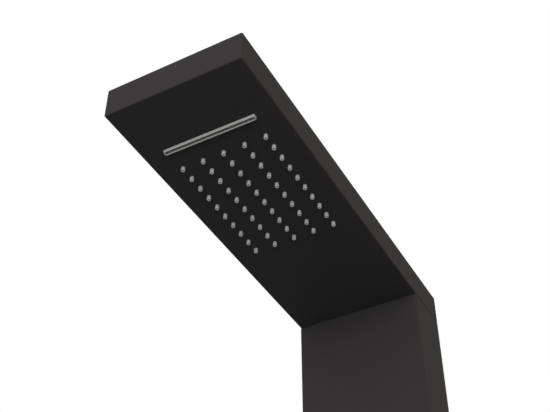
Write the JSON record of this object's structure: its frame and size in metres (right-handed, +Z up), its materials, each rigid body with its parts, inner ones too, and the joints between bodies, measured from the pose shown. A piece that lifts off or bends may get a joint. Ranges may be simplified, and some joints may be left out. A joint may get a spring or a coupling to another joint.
{
  "type": "shower panel",
  "caption": "Matt black wall shower panel: long flat rain and waterfall head on a slim column with a lever mixer and a diverter knob, hung on hooked wall brackets.",
  "frame": {"origin": "on the wall plane, midway between the two wall screws of the upper bracket", "axes": "+Z up along the column, +Y into the wall, so the head reaches towards -Y; +X to the right for someone facing the panel"},
  "size_m": [0.15, 0.47, 1.2],
  "materials": {
    "black_coat": "matt black powder coat on sheet metal",
    "black_control": "matt black coating on brass and zinc",
    "black_plastic": "moulded black plastic",
    "grey_silicone": "soft grey silicone",
    "black_rubber": "black rubber",
    "white_plastic": "moulded white plastic",
    "pipe_plastic": "cross-linked polyethylene pipe",
    "grey_plastic": "grey engineering plastic",
    "spout_plastic": "moulded grey plastic",
    "stainless": "brushed stainless steel",
    "zinc_steel": "zinc plated steel",
    "black_steel": "black coated screw",
    "brass": "raw machined brass",
    "copper": "bare copper tube"
  },
  "bodies": {
    "panel": {"head_tray": "black_coat", "head_lid": "black_coat", "column_casing": "black_coat", "mixer_escutcheon": "black_control", "mixer_dome_nut": "black_control", "diverter_escutcheon": "black_control", "bottom_cap": "black_plastic", "nozzle_mat": "grey_silicone", "waterfall_gasket": "black_rubber", "passage_edging": "black_rubber", "inlet_seals": "black_rubber", "rain_chamber": "white_plastic", "waterfall_chamber": "white_plastic", "rain_pipe": "pipe_plastic", "waterfall_pipe": "pipe_plastic", "mixer_cartridge": "grey_plastic", "diverter_cartridge": "grey_plastic", "waterfall_spout": "spout_plastic", "upper_wall_bracket": "stainless", "lower_wall_bracket": "stainless", "upper_hanger": "stainless", "lower_hanger": "stainless", "joint_angles": "stainless", "pipe_clamps": "stainless", "lid_posts": "zinc_steel", "chamber_studs": "zinc_steel", "chamber_nuts": "zinc_steel", "joint_bolts": "zinc_steel", "joint_nuts": "zinc_steel", "lid_screws": "black_steel", "mixer_body": "brass", "hot_inlet_nipple": "brass", "cold_inlet_nipple": "brass", "cartridge_ring_nut": "brass", "link_nuts": "brass", "diverter_body": "brass", "pipe_tails": "brass", "diverter_clamp_nut": "brass", "link_tube": "copper"},
    "mixer_carrier": {"mixer_carrier": "grey_plastic", "carrier_pin": "zinc_steel"},
    "mixer_lever": {"mixer_stem": "brass", "mixer_lever": "black_control", "lever_grub_screw": "zinc_steel", "lever_plug": "black_plastic"},
    "diverter_knob": {"diverter_spindle": "brass", "diverter_knob": "black_control", "knob_grub_screw": "zinc_steel"}
  },
  "joints": [
    {"name": "mixer_turn", "type": "hinge", "parent": "panel", "child": "mixer_carrier", "pos_m": [0, -0.077, -0.72], "axis": [0, -1, 0], "range_deg": [-45, 45]},
    {"name": "mixer_lift", "type": "hinge", "parent": "mixer_carrier", "child": "mixer_lever", "pos_m": [0, -0.077, -0.72], "axis": [-1, 0, 0], "range_deg": [0, 22]},
    {"name": "diverter_turn", "type": "hinge", "parent": "panel", "child": "diverter_knob", "pos_m": [0, -0.069, -0.56], "axis": [0, -1, 0], "range_deg": [0, 90]}
  ]
}
